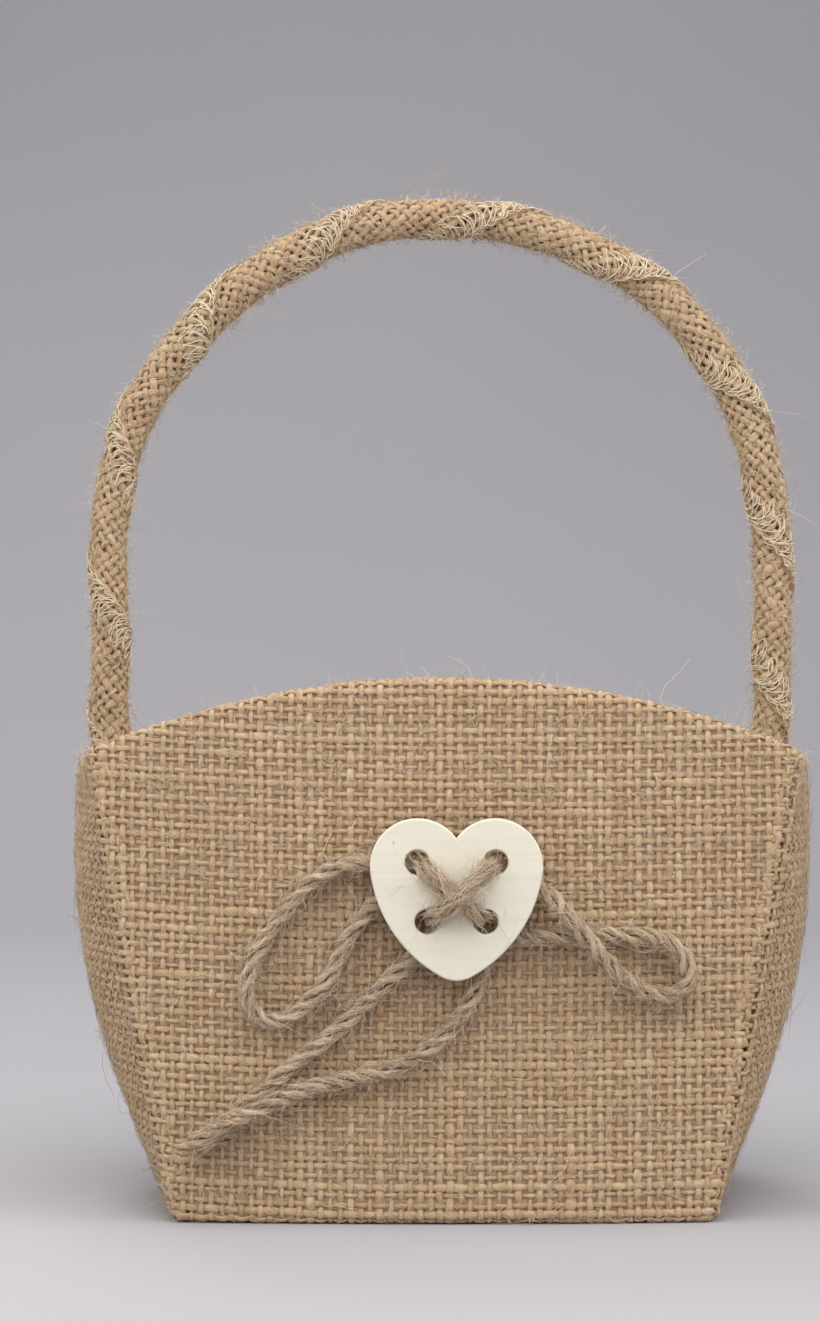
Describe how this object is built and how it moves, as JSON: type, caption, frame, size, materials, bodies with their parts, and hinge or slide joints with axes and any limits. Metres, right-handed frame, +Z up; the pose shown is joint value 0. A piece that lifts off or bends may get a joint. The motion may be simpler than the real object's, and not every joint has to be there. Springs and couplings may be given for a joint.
{
  "type": "flower girl basket",
  "caption": "Small burlap flower basket with arched panels, bulging side gussets, a wrapped arch handle that tips, a wooden heart button and a jute twine bow.",
  "frame": {"origin": "middle of the underside, on the surface the basket stands on", "axes": "+Z up, +X to the basket's right across its width, the decorated front faces -Y"},
  "size_m": [0.172, 0.1124, 0.2338],
  "materials": {
    "burlap": "natural jute plain weave, matte",
    "handle_burlap": "natural jute wound on the bias, matte",
    "board": "grey-brown card, matte",
    "lining": "unbleached cotton, matte",
    "twine": "twisted jute twine with loose fibres",
    "thread": "cream sewing thread",
    "heart_wood": "pale bare plywood, sanded",
    "filler": "dark cotton cord filling",
    "wire": "plain drawn wire"
  },
  "bodies": {
    "basket": {"front_panel": "burlap", "back_panel": "burlap", "left_gusset": "burlap", "right_gusset": "burlap", "bottom_panel": "burlap", "front_board": "board", "back_board": "board", "left_board": "board", "right_board": "board", "base_board": "board", "front_lining": "lining", "back_lining": "lining", "left_lining": "lining", "right_lining": "lining", "bottom_lining": "lining", "left_handle_tab": "handle_burlap", "right_handle_tab": "handle_burlap", "left_tab_stitches": "thread", "right_tab_stitches": "thread", "heart_button": "heart_wood", "button_twine_over": "twine", "button_twine_under": "twine", "bow_knot": "twine", "bow_loop_left": "twine", "bow_loop_right": "twine", "bow_tail_left": "twine", "bow_tail_right": "twine"},
    "handle": {"handle_wrap": "handle_burlap", "handle_filler": "filler", "handle_wire": "wire"}
  },
  "joints": [
    {"name": "handle_tip", "type": "hinge", "parent": "basket", "child": "handle", "pos_m": [0, 0, 0.109], "axis": [1, 0, 0], "range_deg": [-70, 70]}
  ]
}
